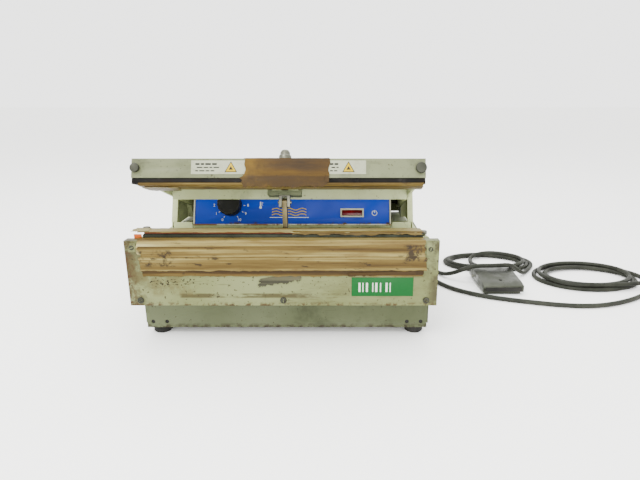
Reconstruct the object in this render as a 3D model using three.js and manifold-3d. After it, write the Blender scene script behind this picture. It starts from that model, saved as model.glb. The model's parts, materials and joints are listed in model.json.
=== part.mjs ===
// Bench jaw heat sealer with a foot switch. Millimetres, +Z up, front towards -Y.
// Every size below is measured from the front cover's face (Y = 0) and the bench (Z = 0);
// the whole machine is then shifted so that its origin is the centre of its footprint.
import * as THREE from 'three';
import { mergeVertices } from 'three/addons/utils/BufferGeometryUtils.js';
import Module from 'manifold-3d';

const wasm = await Module();
wasm.setup();

// ---- driving dimensions -------------------------------------------------------------
const GAP = 0.3; // clearance between pieces that touch
const SHEET = 1.5; // folded sheet thickness
const FOOTPRINT_MID_Y = 125.9; // from the cover's face to the middle of the footprint

const FOOT = { radius: 10.8, height: 9, x: 149, front: 40, rear: 226 };
const CHASSIS = { half: 162, front: 26, rear: 240, floor: 9.3, top: 95, rearTop: 98 };
const COVER = { half: 167, low: 47.5, top: 120.7, flange: 11.2, wrap: 58, wrapTop: 105 };
const DECK = { half: 160.5, front: 29, frontZ: 117.5, rear: 119, rearZ: 104.5, lip: 8 };
const LOWER_JAW = { half: 151, front: 12, rear: 28, low: 96.8, top: 124.6, pad: 2.2, tape: 0.6 };

const HINGE = { y: 205, z: 124, shaft: 4 };
const JAW_TILT = THREE.MathUtils.degToRad(19.5); // open, front end up
const JAW_BAR = { left: -158.8, right: 152.2, front: -197.2, low: -5.1, height: 20.6, depth: 25 };
const STRIP = { front: 6.2, rear: 4.1, tape: 0.8 };
const HOOD = { half: 143, rear: -111.5, flangeLow: -15 };
const ARM = { inner: 144, thick: 3, low: -10, high: 13.5, front: -171.5 };
const PULL = { y: -164.9, pinZ: -22.7, bracketLow: -19.2, bracket: 5, bracketHalf: 18.5 };

const LINK = { width: 9, thick: 5 };
const LEVER = { y: 165, z: 47, endY: 43, endZ: 68, armZ: 88, x: 6.2, thick: 4 };
const PANEL = { low: 107.8, y: 116, lean: THREE.MathUtils.degToRad(21.3), length: 58, half: 127 };
const CONSOLE = { rear: 188, high: 160 };
const UPRIGHT = { outer: 156, flange: 7, topZ: 162.6 };
const KNOB = { x: -79, up: 27.5, radius: 14.6, height: 17 };
const LAMP = { x: 77, up: 17.5, width: 30, height: 11.4 };

const CORD = 6.3; // diameter of both cords
const FLOOR_Z = CORD / 2;
const GLAND = { z: 34, length: 14, switchX: 116, mainsX: 142 };
const PEDAL = { x: 291.5, half: 28.5, front: 150, rear: 230, low: 14, high: 20 };
const SWITCH_COIL = { x: 305, y: 288.5, rx: 66, ry: 43, width: 26, height: 13 };
const MAINS_COIL = { x: 441, y: 213, rx: 72, ry: 56, width: 34, height: 14 };

// ---- materials -------------------------------------------------------------------------
const paint = (color, roughness = 0.6, metalness = 0.1) =>
  new THREE.MeshStandardMaterial({ color, roughness, metalness });
const CREAM = () => paint(0xc6cdb6);
const GREY_PAINT = () => paint(0xafb4a5);
const STEEL = () => paint(0x9a978f, 0.4, 0.85);
const BLACK = () => paint(0x1a1a1a, 0.7, 0);
const TAPE = () => paint(0xbea069, 0.8, 0);

// ---- shape helpers ---------------------------------------------------------------------
const machine = new THREE.Group();
machine.position.set(0, -FOOTPRINT_MID_Y, 0);

function place(name, geometry, material, parent = machine) {
  const mesh = new THREE.Mesh(geometry, material);
  mesh.name = name;
  parent.add(mesh);
  return mesh;
}

// a box given by its lowest and highest corner
function box(low, high) {
  const size = high.map((value, axis) => value - low[axis]);
  const geometry = new THREE.BoxGeometry(...size);
  return geometry.translate(...low.map((value, axis) => value + size[axis] / 2));
}

// turns an outline drawn as (y, z) and extruded along local z into one that runs along X
const TO_X = new THREE.Matrix4().makeBasis(
  new THREE.Vector3(0, 1, 0),
  new THREE.Vector3(0, 0, 1),
  new THREE.Vector3(1, 0, 0),
);

// an outline of (y, z) points extruded from x0 to x1
function prismX(outline, x0, x1, holes = []) {
  const shape = new THREE.Shape(outline.map(([y, z]) => new THREE.Vector2(y, z)));
  for (const hole of holes) {
    shape.holes.push(hole);
  }
  const geometry = new THREE.ExtrudeGeometry(shape, { depth: x1 - x0, bevelEnabled: false, curveSegments: 10 });
  return geometry.applyMatrix4(TO_X).translate(x0, 0, 0);
}

// a bent strip of sheet: the centre fold line offset to its left by the sheet's thickness
function folded(points, thickness) {
  const line = points.map(([y, z]) => new THREE.Vector2(y, z));
  const normals = line.slice(1).map((point, i) => {
    const run = point.clone().sub(line[i]).normalize();
    return new THREE.Vector2(-run.y, run.x);
  });
  const offset = line.map((point, i) => {
    const before = normals[Math.max(i - 1, 0)];
    const after = normals[Math.min(i, normals.length - 1)];
    const middle = before.clone().add(after).normalize();
    return point.clone().addScaledVector(middle, thickness / middle.dot(after));
  });
  return [...line, ...offset.reverse()].map((point) => [point.x, point.y]);
}

// a round hole for prismX
function hole(y, z, radius) {
  const path = new THREE.Path();
  path.absarc(y, z, radius, 0, Math.PI * 2, true);
  return path;
}

// a cylinder between two heights of the named axis, centred on the other two values
function rod(axis, radius, from, to, a, b, sides = 20) {
  const geometry = new THREE.CylinderGeometry(radius, radius, to - from, sides);
  const middle = (from + to) / 2;
  if (axis === 'x') {
    return geometry.rotateZ(Math.PI / 2).translate(middle, a, b);
  }
  if (axis === 'y') {
    return geometry.translate(a, middle, b);
  }
  return geometry.rotateX(Math.PI / 2).translate(a, b, middle);
}

// a turned piece: profile of (radius, height) pairs, axis along +Z, standing at the origin
function turned(profile, sides = 24) {
  const points = profile.map(([radius, height]) => new THREE.Vector2(radius, height));
  return new THREE.LatheGeometry(points, sides).rotateX(Math.PI / 2);
}

function toSolid(geometry) {
  const bare = geometry.clone();
  bare.deleteAttribute('normal');
  bare.deleteAttribute('uv');
  const merged = mergeVertices(bare, 1e-4);
  const indices = merged.index ? merged.index.array : merged.attributes.position.array.map((_, i) => i);
  return new wasm.Manifold(
    new wasm.Mesh({
      numProp: 3,
      vertProperties: new Float32Array(merged.attributes.position.array),
      triVerts: new Uint32Array(indices),
    }),
  );
}

function toGeometry(solid) {
  const mesh = solid.getMesh();
  const geometry = new THREE.BufferGeometry();
  geometry.setAttribute('position', new THREE.BufferAttribute(mesh.vertProperties, 3));
  geometry.setIndex(new THREE.BufferAttribute(mesh.triVerts, 1));
  geometry.computeVertexNormals();
  return geometry;
}

function cut(geometry, ...tools) {
  return toGeometry(tools.reduce((solid, tool) => solid.subtract(toSolid(tool)), toSolid(geometry)));
}

function join(geometry, ...others) {
  return toGeometry(others.reduce((solid, other) => solid.add(toSolid(other)), toSolid(geometry)));
}

// ---- chassis ---------------------------------------------------------------------------
const sides = [
  ['left', -1],
  ['right', 1],
];

function chassisBase() {
  const { half, front, rear, floor, top, rearTop } = CHASSIS;
  const tray = folded(
    [
      [LOWER_JAW.front, top],
      [front, top],
      [front, floor],
      [rear, floor],
      [rear, rearTop],
    ],
    SHEET,
  );
  const cornerHoles = [-155, -139, 139, 155].map((x) => rod('y', 2.3, front - 4, front + 5, x, 16.5, 14));
  const glandHoles = [GLAND.switchX, GLAND.mainsX].map((x) => rod('y', 5.2, rear - 4, rear + 4, x, GLAND.z));
  return cut(prismX(tray, -half, half), ...cornerHoles, ...glandHoles);
}

place('chassis_base', chassisBase(), GREY_PAINT());

const sideOutline = [
  [CHASSIS.front + 2.2, 14],
  [CHASSIS.rear, 14],
  [CHASSIS.rear, 101.5],
  [DECK.rear, 101.5],
  [DECK.front, 114.5],
  [CHASSIS.front + 2.2, 114.5],
];
for (const [side, sign] of sides) {
  const inner = CHASSIS.half + GAP;
  const [x0, x1] = [sign * inner, sign * (inner + SHEET)].sort((a, b) => a - b);
  place(`side_cover_${side}`, prismX(sideOutline, x0, x1), GREY_PAINT());
}

function deckPlate() {
  const { half, front, frontZ, rear, rearZ, lip } = DECK;
  const slope = folded(
    [
      [front, frontZ],
      [rear, rearZ],
      [CHASSIS.rear - 2, rearZ - 3.2],
    ],
    -SHEET,
  );
  const lips = sides.map(([, sign]) => {
    const [x0, x1] = [sign * 129, sign * 153].sort((a, b) => a - b);
    return box([x0, rear, rearZ - 1], [x1, rear + SHEET, rearZ + lip]);
  });
  const slot = box([-9, 30.5, 90], [9, 68, 130]);
  const pivotWindow = box([-20, 150, 90], [20, 180, 130]);
  return cut(join(prismX(slope, -half, half), ...lips), slot, pivotWindow);
}

place('deck_plate', deckPlate(), CREAM());

// ---- front cover -----------------------------------------------------------------------
const COVER_SCREWS = [-155, 0, 155];
const COVER_SCREW_Z = 54;

function frontCover() {
  const { half, low, top, flange, wrap, wrapTop } = COVER;
  const outer = box([-half, 0, low], [half, wrap, top]);
  const inside = box([-half + SHEET, SHEET, low - 1], [half - SHEET, wrap + 1, top - SHEET]);
  const openTop = box([-half + SHEET, flange, top - 10], [half - SHEET, wrap + 1, top + 1]);
  // the end returns slope down behind the top flange
  const slope = [[wrap + 1, wrapTop], [wrap + 1, top + 1], [flange + 0.2, top + 1], [flange + 0.2, top]];
  return cut(outer, inside, openTop, prismX(slope, -half - 1, half + 1));
}

// pan-head screw pointing into +Y from the cover's face
function coverScrew(x, z) {
  const head = turned([[0, -1], [3.2, -1], [3.4, 0.6], [2.6, 1.7], [0, 2]], 18);
  const slot = box([-4, -0.4, 1.2], [4, 0.4, 3]);
  return cut(head, slot).rotateX(Math.PI / 2).translate(x, 0, z);
}

// small clamp plates that hold the tape at the upper ends of the cover
const CLAMPS = [
  [-158.7, 108.6, 118.5],
  [157.5, 104.3, 119.4],
];

function tapeClamp([x, low, high]) {
  const plate = box([x - 4.2, -1.3, low], [x + 4.2, 0.2, high]);
  return join(plate, rod('y', 2, -2.2, -1.2, x, (low + high) / 2, 12));
}

const coverFixings = [...COVER_SCREWS.map((x) => coverScrew(x, COVER_SCREW_Z)), ...CLAMPS.map(tapeClamp)];
place('front_cover', join(frontCover(), ...coverFixings), CREAM());

// ---- lower jaw -------------------------------------------------------------------------
const jaw = LOWER_JAW;
const barTop = jaw.top;
place('lower_jaw_bar', box([-jaw.half, jaw.front, jaw.low], [jaw.half, jaw.rear, barTop]), paint(0x4b4f45, 0.6, 0.3));
const padLow = barTop + GAP;
place(
  'silicone_pad',
  box([-jaw.half + 1, jaw.front + 2, padLow], [jaw.half - 1, jaw.rear - 2, padLow + jaw.pad - GAP]),
  paint(0x8a4a35, 0.8, 0),
);
const tapeLow = padLow + jaw.pad;
place('lower_jaw_tape', box([-jaw.half - 5, jaw.front - 0.5, tapeLow], [jaw.half - 1, jaw.rear, tapeLow + jaw.tape]), TAPE());

const frontTape = folded(
  [
    [-GAP, 80],
    [-GAP, COVER.top + GAP],
    [COVER.flange - 0.5, COVER.top + GAP],
  ],
  0.9,
);
place('front_tape', prismX(frontTape, -153.5, 152), TAPE());

// knurled screw standing on the origin, axis +Z
function thumbScrew(radius, height) {
  const neck = radius * 0.6;
  const foot = [[0, 0], [neck, 0], [neck, 1.2], [radius, 1.6]];
  const profile = [...foot, [radius, height - 0.6], [radius - 0.6, height], [0, height]];
  return turned(profile, 20);
}

const LOWER_SCREWS = [
  ['left', -155.6, 121.5],
  ['right', 155.2, 117.2],
];
for (const [side, x, z] of LOWER_SCREWS) {
  const boss = rod('z', 2, 117, z, x, 37, 12);
  const screw = join(thumbScrew(4.2, 5.5).translate(x, 37, z - 0.1), boss);
  place(`lower_thumb_screw_${side}`, screw, STEEL());
}

// ---- upper jaw, drawn level about its hinge line and then tilted open ----------------------
const upper = new THREE.Group();
upper.position.set(0, HINGE.y, HINGE.z);
upper.rotation.x = -JAW_TILT;
machine.add(upper);

const barLow = JAW_BAR.low;
const barHigh = JAW_BAR.low + JAW_BAR.height;
const barFront = JAW_BAR.front;
const barRear = JAW_BAR.front + JAW_BAR.depth;

const UPPER_SCREWS = [
  ['left', JAW_BAR.left + 4.8, 4.9],
  ['right', JAW_BAR.right - 5.3, 5.8],
];

// the jaw bar is a channel with its mouth to the rear
function jawBar() {
  const { left, right } = JAW_BAR;
  const outer = box([left, barFront, barLow], [right, barRear, barHigh]);
  const mouth = box([left - 1, barFront + 2.5, barLow + 2.5], [right + 1, barRear + 1, barHigh - 2.5]);
  const screwHoles = UPPER_SCREWS.map(([, x]) => rod('y', 2.3, barFront - 1, barFront + 4, x, 5, 12));
  return cut(outer, mouth, ...screwHoles);
}

place('jaw_bar', jawBar(), CREAM(), upper);

for (const [side, x, radius] of UPPER_SCREWS) {
  const head = thumbScrew(radius, 5).rotateX(Math.PI / 2);
  const shank = rod('y', 1.9, -0.2, 9, 0, 0, 12);
  const screw = join(head, shank).translate(x, barFront - GAP, 5);
  place(`upper_thumb_screw_${side}`, screw, STEEL(), upper);
}

const stripTop = barLow - GAP;
const stripOutline = [
  [barFront + 0.5, stripTop],
  [barFront + 0.5, stripTop - STRIP.front],
  [barRear - 0.5, stripTop - STRIP.rear],
  [barRear - 0.5, stripTop],
];
place('element_strip', prismX(stripOutline, JAW_BAR.left + 0.5, JAW_BAR.right - 0.5), BLACK(), upper);

const upperTape = folded(
  [
    [barFront + 0.5, stripTop - STRIP.front - GAP],
    [barRear - 0.5, stripTop - STRIP.rear - GAP],
  ],
  -STRIP.tape,
);
place('upper_jaw_tape', prismX(upperTape, JAW_BAR.left + 8, JAW_BAR.right - 2), TAPE(), upper);

// folded hood: top plate screwed to the bar, with a deep flange along its rear edge
function hoodPlate() {
  const outline = folded(
    [
      [barRear + GAP, barHigh - SHEET],
      [HOOD.rear - SHEET, barHigh - SHEET],
      [HOOD.rear - SHEET, HOOD.flangeLow],
    ],
    SHEET,
  );
  const studHole = rod('z', 4.4, barHigh - 4, barHigh + 2, 0, PULL.y);
  return cut(prismX(outline, -HOOD.half, HOOD.half), studHole);
}

place('hood_plate', hoodPlate(), CREAM(), upper);

// each side arm runs from the bar, past the console, to the pivot shaft
const armOutline = [
  [ARM.front, ARM.low],
  [-9, ARM.low],
  [8, -8],
  [12, 0],
  [8, 9],
  [-8, ARM.high],
  [ARM.front, ARM.high],
];
for (const [side, sign] of sides) {
  const [x0, x1] = [sign * ARM.inner, sign * (ARM.inner + ARM.thick)].sort((a, b) => a - b);
  place(`arm_${side}`, prismX(armOutline, x0, x1, [hole(0, 0, HINGE.shaft + 0.25)]), CREAM(), upper);
}

// pull gear under the hood: channel bracket, stud, acorn nut, clevis and pin
function pullBracket() {
  const { y, bracketLow, bracket, bracketHalf } = PULL;
  const top = barHigh - SHEET - GAP;
  const outer = box([-bracketHalf, y - 6.8, bracketLow], [bracketHalf, y + 11, top]);
  const inner = box([-bracketHalf + 3, y - 8, bracketLow + bracket], [bracketHalf - 3, y + 12, top + 1]);
  return cut(outer, inner, rod('z', 4.3, bracketLow - 1, bracketLow + bracket + 1, 0, y));
}

place('pull_bracket', pullBracket(), CREAM(), upper);

const PIN_Z = PULL.pinZ - 3.8;

function pullClevis() {
  const { y, pinZ, bracketLow } = PULL;
  const top = bracketLow - GAP;
  const body = box([-6, y - 5, pinZ - 9.5], [6, y + 5, top]);
  const slot = box([-LINK.thick / 2 - 0.6, y - 6, pinZ - 11], [LINK.thick / 2 + 0.6, y + 6, pinZ + 2.2]);
  const pinHole = rod('x', 2.15, -8, 8, y, PIN_Z, 16);
  const stud = rod('z', 4, top - 0.5, 31, 0, y);
  const nut = new THREE.CylinderGeometry(7.4, 7.4, 3.4, 6).rotateX(Math.PI / 2);
  return join(cut(body, slot, pinHole), stud, nut.translate(0, y, barHigh + GAP + 1.7));
}

place('pull_clevis', pullClevis(), STEEL(), upper);
place('clevis_pin', rod('x', 2, -7.6, 7.6, PULL.y, PIN_Z, 16), STEEL(), upper);

// open-bottomed acorn nut round the stud's end
function acornNut() {
  const crown = [[7, 0], [7, 6.5], [5.75, 7.5], [5.4, 10.5], [3.6, 12.9], [0, 13.9]];
  const dome = turned([[4.25, 0], ...crown, [0, 12.6], [4.25, 12.2], [4.25, 0]], 18);
  return dome.translate(0, PULL.y, barHigh + 4);
}

place('acorn_nut', acornNut(), STEEL(), upper);

// a worn wrapping of tape over the bar's front face
const patchOutline = folded(
  [
    [barFront + 8, barHigh + GAP],
    [barFront - GAP, barHigh + GAP],
    [barFront - GAP, stripTop - STRIP.front - 2.5],
  ],
  -1,
);
place('tape_patch', prismX(patchOutline, -39, 47), paint(0x82602c, 0.8, 0), upper);

// ---- draw link, from the clevis through the deck to the lever -------------------------------
// the clevis pin's place with the jaw open
const pinOffset = new THREE.Vector3(0, PULL.y, PIN_Z).applyAxisAngle(new THREE.Vector3(1, 0, 0), -JAW_TILT);
const linkTop = { y: HINGE.y + pinOffset.y, z: HINGE.z + pinOffset.z };

function linkStrap() {
  const halfWidth = LINK.width / 2;
  const outline = [
    [linkTop.y - halfWidth, linkTop.z + 2.6],
    [linkTop.y - 2, linkTop.z + halfWidth],
    [linkTop.y + 2, linkTop.z + halfWidth],
    [linkTop.y + halfWidth, linkTop.z + 2.6],
    [LEVER.endY + 8, LEVER.endZ + 14],
    [LEVER.endY + 8, LEVER.endZ - 8],
    [LEVER.endY - 8, LEVER.endZ - 8],
    [LEVER.endY - 8, LEVER.endZ + 14],
  ];
  const holes = [hole(linkTop.y, linkTop.z, 2.25), hole(LEVER.endY, LEVER.endZ, 5)];
  return prismX(outline.reverse(), -LINK.thick / 2, LINK.thick / 2, holes);
}

place('link_strap', linkStrap(), paint(0x7d6e46, 0.5, 0.7));

// ---- lever, solenoid and the other inner pieces -----------------------------------------------
function pullLever() {
  const { y, z, endY, endZ, armZ, x, thick } = LEVER;
  const outline = [
    [endY - 7, endZ + 5],
    [endY - 7, endZ - 5],
    [endY + 5, endZ - 9],
    [y - 4, z - 9],
    [y + 6, z - 7],
    [y + 9, z],
    [y + 6, armZ + 3],
    [y + 2, armZ + 6],
    [y - 4, armZ + 3],
    [y - 8, z + 10],
    [endY + 6, endZ + 7],
  ];
  const plate = prismX(outline, x - thick / 2, x + thick / 2, [hole(y, z, 4.25)]);
  const pin = rod('x', 2.5, -4.5, x, endY, endZ, 16);
  const crankPin = rod('x', 2.5, -5, x, y, armZ, 16);
  return join(plate, pin, crankPin);
}

place('pull_lever', pullLever(), STEEL());

function leverBracket() {
  const { y, z } = LEVER;
  const foot = box([-14, y - 14, 11.2], [26, y + 14, 13.2]);
  const ears = [-13, 13].map((x) => box([x - 1.5, y - 9, 12], [x + 1.5, y + 9, z + 8]));
  const pin = rod('x', 4, -13, 13, y, z);
  return join(foot, ...ears, pin);
}

place('lever_bracket', leverBracket(), STEEL());

const COIL_BODY = { front: 78, rear: 133, low: 74.5, high: 101, half: 15 };
function solenoidBody() {
  const { front, rear, low, high, half } = COIL_BODY;
  const frame = box([-half, front, low], [half, rear, high]);
  const bore = rod('y', 6.4, front + 4, rear + 1, 0, LEVER.armZ);
  return cut(frame, bore);
}

place('solenoid_body', solenoidBody(), paint(0x6a6a66, 0.5, 0.6));

function solenoidPlunger() {
  const core = rod('y', 6, 104, 152, 0, LEVER.armZ);
  const fork = box([-2.2, 148, LEVER.armZ - 8], [2.2, 174, LEVER.armZ + 6]);
  const slot = box([-3, 160, LEVER.armZ - 6], [3, 170.5, LEVER.armZ + 4]);
  return cut(join(core, fork), slot);
}

place('solenoid_plunger', solenoidPlunger(), STEEL());

function transformer() {
  const core = box([-120, 120, 11.5], [-52, 176, 66]);
  const windings = [box([-112, 108, 22], [-60, 121, 56]), box([-112, 175, 22], [-60, 188, 56])];
  return join(core, ...windings);
}

place('transformer', transformer(), paint(0x44403a, 0.6, 0.5));

function terminalBlock() {
  const bodyBlock = box([62, 150, 11.5], [134, 168, 30]);
  const wells = [0, 1, 2, 3, 4, 5].map((index) => rod('z', 3.2, 22, 32, 69 + index * 11.6, 159, 10));
  return cut(bodyBlock, ...wells);
}

place('terminal_block', terminalBlock(), BLACK());

// ---- console and uprights -----------------------------------------------------------------------
const leanY = Math.sin(PANEL.lean);
const leanZ = Math.cos(PANEL.lean);
const panelPoint = (up, out = 0) => [PANEL.y + up * leanY - out * leanZ, PANEL.low + up * leanZ + out * leanY];

function consoleHousing() {
  const outline = [
    [DECK.rear + 1.6, DECK.rearZ + GAP],
    panelPoint(1.4, -2.2),
    panelPoint(PANEL.length, -2.2),
    [CONSOLE.rear, CONSOLE.high],
    [CONSOLE.rear, DECK.rearZ + GAP],
  ];
  const inner = [
    [DECK.rear + 3.6, DECK.rearZ - 2],
    panelPoint(1.4, -4.2),
    panelPoint(PANEL.length - 1.6, -4.2),
    [CONSOLE.rear - SHEET, CONSOLE.high - 1.6],
    [CONSOLE.rear - SHEET, DECK.rearZ - 2],
  ];
  const shell = prismX(outline.reverse(), -PANEL.half, PANEL.half);
  const hollow = prismX(inner.reverse(), -PANEL.half + SHEET, PANEL.half - SHEET);
  return cut(shell, hollow, panelHole(KNOB.x, KNOB.up, 4.5), lampHole(-10, 2));
}

// tool bodies that run along the panel's outward normal
function alongPanel(geometry, x, up) {
  const [y, z] = panelPoint(up);
  return geometry.rotateX(Math.PI / 2 - PANEL.lean).translate(x, y, z);
}

function panelHole(x, up, radius) {
  return alongPanel(new THREE.CylinderGeometry(radius, radius, 30, 20).rotateX(Math.PI / 2), x, up);
}

function lampHole(low, high) {
  return alongPanel(box([-12.5, -4.2, low], [12.5, 4.2, high]), LAMP.x, LAMP.up);
}

place('console_housing', consoleHousing(), CREAM());

// a plate lying on the panel plane, between two depths out from it
function panelPlate(x0, x1, up0, up1, back, front) {
  const corners = [panelPoint(up0, back), panelPoint(up0, front), panelPoint(up1, front), panelPoint(up1, back)];
  return prismX(corners.reverse(), x0, x1);
}

place(
  'control_panel',
  cut(panelPlate(-PANEL.half + 2, PANEL.half - 2, 3.6, PANEL.length - 2, -1.6, 0), panelHole(KNOB.x, KNOB.up, 4.5), lampHole(-10, 2)),
  paint(0x2350a5, 0.45, 0.1),
);

function panelFrame() {
  const outer = panelPlate(-PANEL.half, PANEL.half, 1.6, PANEL.length, -1.9, 1);
  const inner = panelPlate(-PANEL.half + 1.7, PANEL.half - 1.7, 3.3, PANEL.length - 1.7, -3, 2);
  return cut(outer, inner);
}

place('panel_frame', panelFrame(), paint(0xd8d6c4, 0.4, 0.3));

function lampBezel() {
  const { width, height } = LAMP;
  const rim = box([-width / 2, -height / 2, GAP], [width / 2, height / 2, 2.4]);
  const socket = box([-12, -3.9, -9], [12, 3.9, 0.6]);
  const window = box([-13.2, -3.7, 1.1], [13.2, 3.7, 3]);
  return alongPanel(cut(join(rim, socket), window), LAMP.x, LAMP.up);
}

place('lamp_bezel', lampBezel(), paint(0xcfcdbd, 0.4, 0.3));
place('lamp_lens', alongPanel(box([-12.8, -3.3, 1.4], [12.8, 3.3, 3]), LAMP.x, LAMP.up), paint(0x8a1a12, 0.3, 0));

function potentiometer() {
  const can = turned([[0, -16], [11, -16], [11, -5], [3.9, -4.6], [3.9, 1.5], [0, 1.5]], 24);
  return alongPanel(can, KNOB.x, KNOB.up);
}

place('dial_potentiometer', potentiometer(), STEEL());

function temperatureKnob() {
  const { radius, height } = KNOB;
  const profile = [[0, 2], [radius, 2], [radius, 6], [radius - 1.2, height - 0.8], [radius - 2, height], [0, height]];
  const knob = turned(profile, 36);
  const dot = rod('z', 1.2, height - 1, height + 0.5, 0, radius - 4.4, 12);
  const flutes = Array.from({ length: 18 }, (_, index) => {
    const flute = new THREE.CylinderGeometry(1.1, 1.1, height, 6).rotateX(Math.PI / 2);
    return flute.translate(0, radius + 0.3, 6.6 + height / 2).rotateZ((index * Math.PI) / 9);
  });
  const turn = THREE.MathUtils.degToRad(45); // the pointer's rest place, left of the top
  return alongPanel(cut(join(knob, dot), ...flutes).rotateZ(turn), KNOB.x, KNOB.up);
}

place('temperature_knob', temperatureKnob(), BLACK());

// side frames carry the pivot shaft; their front edges are turned in as narrow flanges
const frameBase = DECK.rearZ + GAP;

// the bearing block inside each side frame
function hingeBlock(sign) {
  const [x0, x1] = [sign * 148, sign * 155].sort((a, b) => a - b);
  const outline = [
    [HINGE.y - 19, frameBase],
    [HINGE.y + 12, frameBase],
    [HINGE.y + 12, HINGE.z + 11],
    [HINGE.y - 19, HINGE.z + 11],
  ];
  return prismX(outline, x0, x1, [hole(HINGE.y, HINGE.z, HINGE.shaft + GAP)]);
}

const COVER_ROOF = CONSOLE.high + 1.4; // underside of the sheet over the arms and the shaft
const frameOutline = [
  [DECK.rear + 0.2, frameBase],
  [DECK.rear + 0.2 + (UPRIGHT.topZ - frameBase) * Math.tan(PANEL.lean), UPRIGHT.topZ],
  [191, UPRIGHT.topZ],
  [225, COVER_ROOF - 12.6],
  [238, frameBase],
];
for (const [side, sign] of sides) {
  const [x0, x1] = [sign * (UPRIGHT.outer - SHEET), sign * UPRIGHT.outer].sort((a, b) => a - b);
  const [f0, f1] = [sign * (UPRIGHT.outer - UPRIGHT.flange), sign * UPRIGHT.outer].sort((a, b) => a - b);
  const plate = prismX([...frameOutline].reverse(), x0, x1, [hole(HINGE.y, HINGE.z, HINGE.shaft + 0.3)]);
  const flangeOutline = [
    [frameOutline[0][0] + 1.6, frameBase + DECK.lip],
    [frameOutline[0][0] + 1.6 + DECK.lip * 0.39, frameBase + DECK.lip],
    [frameOutline[1][0] + SHEET, UPRIGHT.topZ],
    [frameOutline[1][0], UPRIGHT.topZ],
  ];
  place(`upright_${side}`, join(plate, prismX(flangeOutline, f0, f1), hingeBlock(sign)), CREAM());
}

place('pivot_shaft', rod('x', HINGE.shaft, -153.8, 153.8, HINGE.y, HINGE.z, 24), STEEL());

// return springs wound round the shaft, one leg on the console's rear wall, one on the arm
class Winding extends THREE.Curve {
  constructor(start, turns, radius, pitch) {
    super();
    Object.assign(this, { start, turns, radius, pitch });
  }

  getPoint(t, target = new THREE.Vector3()) {
    const angle = t * this.turns * Math.PI * 2;
    const along = this.start + this.pitch * this.turns * t;
    return target.set(along, HINGE.y + Math.cos(angle) * this.radius, HINGE.z + Math.sin(angle) * this.radius);
  }
}

for (const [side, sign] of sides) {
  const wire = new THREE.Shape(circlePoints(0.9, 6));
  const path = new Winding(sign * 120, 5, 6.4, sign * 2.6);
  const options = { steps: 70, extrudePath: path, bevelEnabled: false };
  place(`return_spring_${side}`, new THREE.ExtrudeGeometry(wire, options), STEEL());
}

function circlePoints(radius, count) {
  return Array.from({ length: count }, (_, index) => {
    const angle = (index / count) * Math.PI * 2;
    return new THREE.Vector2(Math.cos(angle) * radius, Math.sin(angle) * radius);
  });
}

const rearOutline = folded(
  [
    [150, COVER_ROOF],
    [190, COVER_ROOF],
    [224, COVER_ROOF - 14],
    [236.8, frameBase - 2.6],
  ],
  SHEET,
);
place('rear_cover', prismX(rearOutline, -153.9, 153.9), CREAM());

// ---- feet ---------------------------------------------------------------------------------------
const FEET = [
  ['front_left', -FOOT.x, FOOT.front],
  ['front_right', FOOT.x, FOOT.front],
  ['rear_left', -FOOT.x, FOOT.rear],
  ['rear_right', FOOT.x, FOOT.rear],
];
for (const [name, x, y] of FEET) {
  const { radius, height } = FOOT;
  const foot = turned([[0, 0], [radius - 1.6, 0], [radius, 1.4], [radius - 0.8, height], [0, height]], 24);
  place(`foot_${name}`, foot.translate(x, y, 0), BLACK());
}

// ---- cord glands ----------------------------------------------------------------------------------
const glandStart = CHASSIS.rear + GAP;
const glandEnd = glandStart + GLAND.length;
for (const [name, x] of [['switch', GLAND.switchX], ['mains', GLAND.mainsX]]) {
  const profile = [[0, -6], [4.8, -6], [4.8, GAP], [8.5, GAP], [8.5, 4], [6.2, 5], [4.6, GLAND.length], [0, GLAND.length]];
  const gland = turned(profile, 20).rotateX(-Math.PI / 2);
  place(`${name}_cord_gland`, gland.translate(x, glandStart - GAP, GLAND.z), BLACK());
}

// ---- foot switch --------------------------------------------------------------------------------------
const hingePin = { y: PEDAL.rear - 25, z: 9.5 };

// a low tray with two ears for the pin and a hole for the lead in its rear wall
function switchBase() {
  const { x, half, front, rear } = PEDAL;
  const tray = box([x - half + 3.5, front + 4, 0], [x + half - 3.5, rear - 3, 7.5]);
  const hollow = box([x - half + 5.5, front + 6, 1.2], [x + half - 5.5, rear - 5, 9]);
  const ears = [x - half + 3.5, x + half - 5.5].map((low) =>
    box([low, hingePin.y - 5, 3], [low + 2, hingePin.y + 5, hingePin.z + 4]),
  );
  const pinHole = rod('x', 1.9, x - half - 1, x + half + 1, hingePin.y, hingePin.z, 12);
  const cordHole = rod('y', CORD / 2 - 0.5, rear - 7, rear, x - 8, 4.6, 12);
  return cut(join(cut(tray, hollow), ...ears), pinHole, cordHole);
}

place('switch_base', switchBase(), paint(0x3c3f3e, 0.6, 0.5));

// the treadle is a cap over the tray, open below and at the rear
function treadle() {
  const { x, half, front, rear, low, high } = PEDAL;
  const outline = [
    [front, 4.6],
    [rear, 4.6],
    [rear, high - 2],
    [rear - 16, high],
    [front + 12, low + 2],
    [front, low - 0.5],
  ];
  const inner = [
    [front + 2, 2],
    [rear + 1, 2],
    [rear + 1, high - 4],
    [rear - 16, high - 2],
    [front + 12, low],
    [front + 2, low - 2],
  ];
  const shell = prismX(outline, x - half, x + half);
  const hollow = prismX(inner, x - half + 2, x + half - 2);
  const pinHole = rod('x', 1.9, x - half - 1, x + half + 1, hingePin.y, hingePin.z, 12);
  return cut(shell, hollow, pinHole);
}

place('treadle', treadle(), paint(0x4a4d4a, 0.5, 0.6));
place('treadle_pin', rod('x', 1.6, PEDAL.x - PEDAL.half - 2.5, PEDAL.x + PEDAL.half + 2.5, hingePin.y, hingePin.z, 12), STEEL());

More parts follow.
